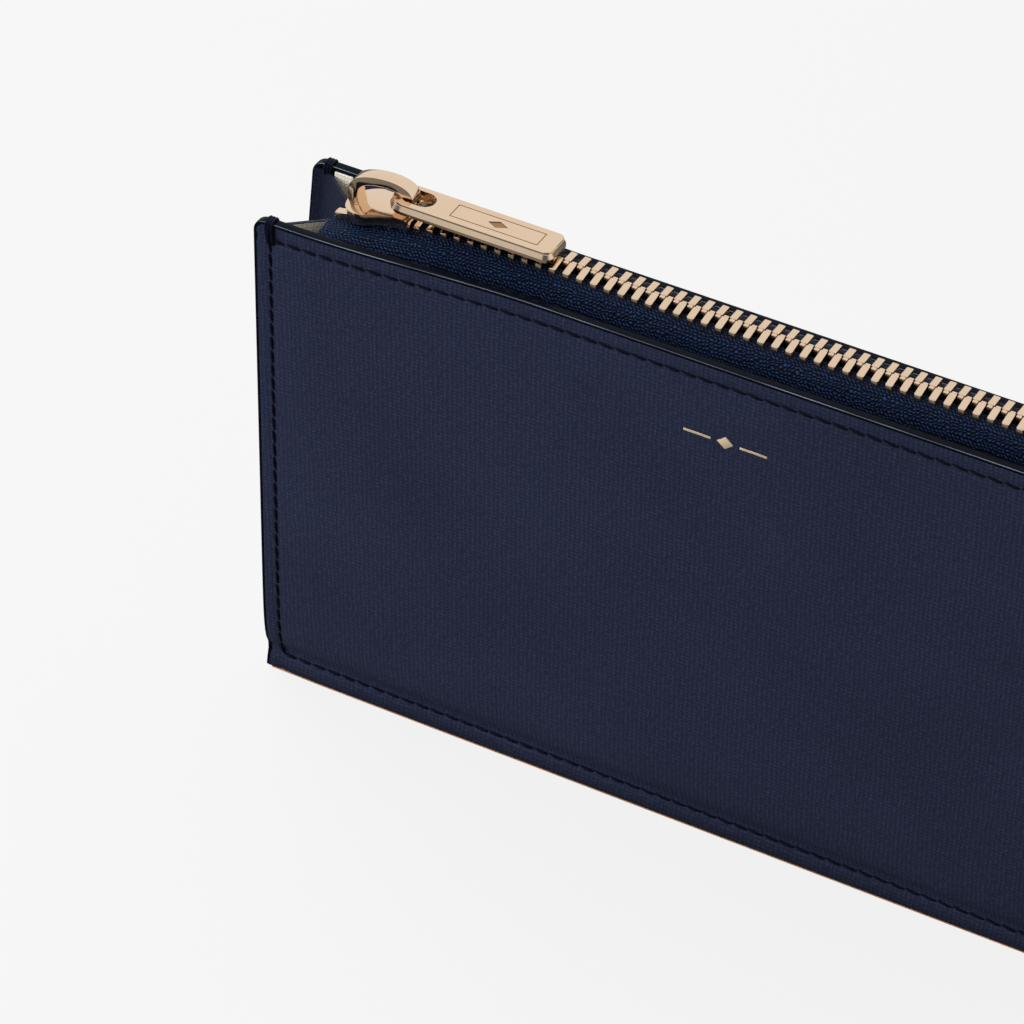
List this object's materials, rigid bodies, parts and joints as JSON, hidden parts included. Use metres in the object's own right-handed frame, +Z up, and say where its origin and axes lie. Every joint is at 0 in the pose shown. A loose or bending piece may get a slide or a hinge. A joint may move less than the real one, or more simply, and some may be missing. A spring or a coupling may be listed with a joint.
{
  "type": "card holder",
  "caption": "Slim zip-top card holder in grained navy leather, standing on its bottom seam, with folded side gussets, a metal-toothed zip and a flat metal pull.",
  "frame": {"origin": "on the floor at the middle of the bottom seam, midway between the panels", "axes": "+X along the length towards the zip's bottom stop, -Y out of the front panel, +Z up towards the zip"},
  "size_m": [0.138, 0.0188, 0.0901],
  "materials": {
    "leather_outer": "fine cross-hatched pressed grain, satin",
    "leather_gusset": "smoother folded leather, satin",
    "pocket_leather": "thin smooth lining leather",
    "lining": "fine woven lining",
    "board": "plain board",
    "edge_paint": "glossy edge paint",
    "thread": "waxed thread",
    "zip_tape": "woven twill tape",
    "gold_metal": "polished pale rose gold plate",
    "gold_foil": "hot pressed foil"
  },
  "bodies": {
    "back_side": {"back_panel": "leather_outer", "back_stiffener": "board", "back_lining": "lining", "back_edge_coat": "edge_paint", "back_stitching": "thread", "back_bar_tacks": "thread", "back_tape": "zip_tape", "back_teeth": "gold_metal", "back_top_stop": "gold_metal", "bottom_stop": "gold_metal", "left_gusset": "leather_gusset", "right_gusset": "leather_gusset", "left_gusset_lining": "lining", "right_gusset_lining": "lining", "card_pocket_upper": "pocket_leather", "card_pocket_lower": "pocket_leather", "pocket_stitching": "thread"},
    "front_side": {"front_panel": "leather_outer", "front_stiffener": "board", "front_lining": "lining", "front_edge_coat": "edge_paint", "front_stitching": "thread", "front_bar_tacks": "thread", "front_foil_mark": "gold_foil", "front_tape": "zip_tape", "front_teeth": "gold_metal", "front_top_stop": "gold_metal"},
    "slider": {"slider_body": "gold_metal", "slider_crown": "gold_metal"},
    "pull": {"pull_tab": "gold_metal"}
  },
  "joints": [
    {"name": "zip_travel", "type": "slide", "parent": "back_side", "child": "slider", "axis": [0.9999, 0, 0.0155], "range_m": [0, 0.105], "deforming": ["front_teeth", "back_teeth"]},
    {"name": "mouth_open", "type": "hinge", "parent": "back_side", "child": "front_side", "pos_m": [0, 0, 0], "axis": [1, 0, 0], "range_deg": [0, 8], "deforming": ["front_tape", "back_tape", "left_gusset", "right_gusset", "left_gusset_lining", "right_gusset_lining"]},
    {"name": "pull_swing", "type": "hinge", "parent": "slider", "child": "pull", "pos_m": [-0.05225, 0, 0.0871], "axis": [0, -1, 0], "range_deg": [0, 140]}
  ],
  "couplings": [
    {"joint": "mouth_open", "follows": "zip_travel", "rad_per_m": 1.32}
  ]
}
